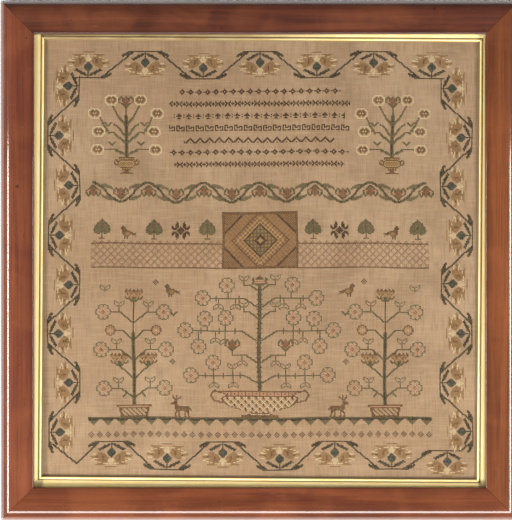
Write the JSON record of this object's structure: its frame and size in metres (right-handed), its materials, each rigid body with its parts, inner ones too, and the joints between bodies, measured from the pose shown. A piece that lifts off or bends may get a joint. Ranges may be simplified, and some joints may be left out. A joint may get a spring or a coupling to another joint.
{
  "type": "framed cross stitch sampler",
  "caption": "Cross stitch sampler on tan linen, behind a gilt inner slip in a polished mahogany frame with mitred corners and a plain wooden backboard.",
  "frame": {"origin": "middle of the frame's back plane, on the surface that the sampler lies on", "axes": "+Z out of the sampler's face, +Y towards its top edge, +X to the right as it is read"},
  "size_m": [0.6, 0.602, 0.025],
  "materials": {
    "mahogany": "french polished mahogany, worn and lightly scratched",
    "gilding": "gilded wood, rubbed along its edges",
    "linen": "unbleached plain-weave linen, aged and stained",
    "pine": "plain planed softwood, darkened with age"
  },
  "bodies": {
    "root": {"rail_bottom": "mahogany", "rail_right": "mahogany", "rail_top": "mahogany", "rail_left": "mahogany", "slip_bottom": "gilding", "slip_right": "gilding", "slip_top": "gilding", "slip_left": "gilding", "sampler_cloth": "linen", "backboard": "pine"}
  },
  "joints": []
}
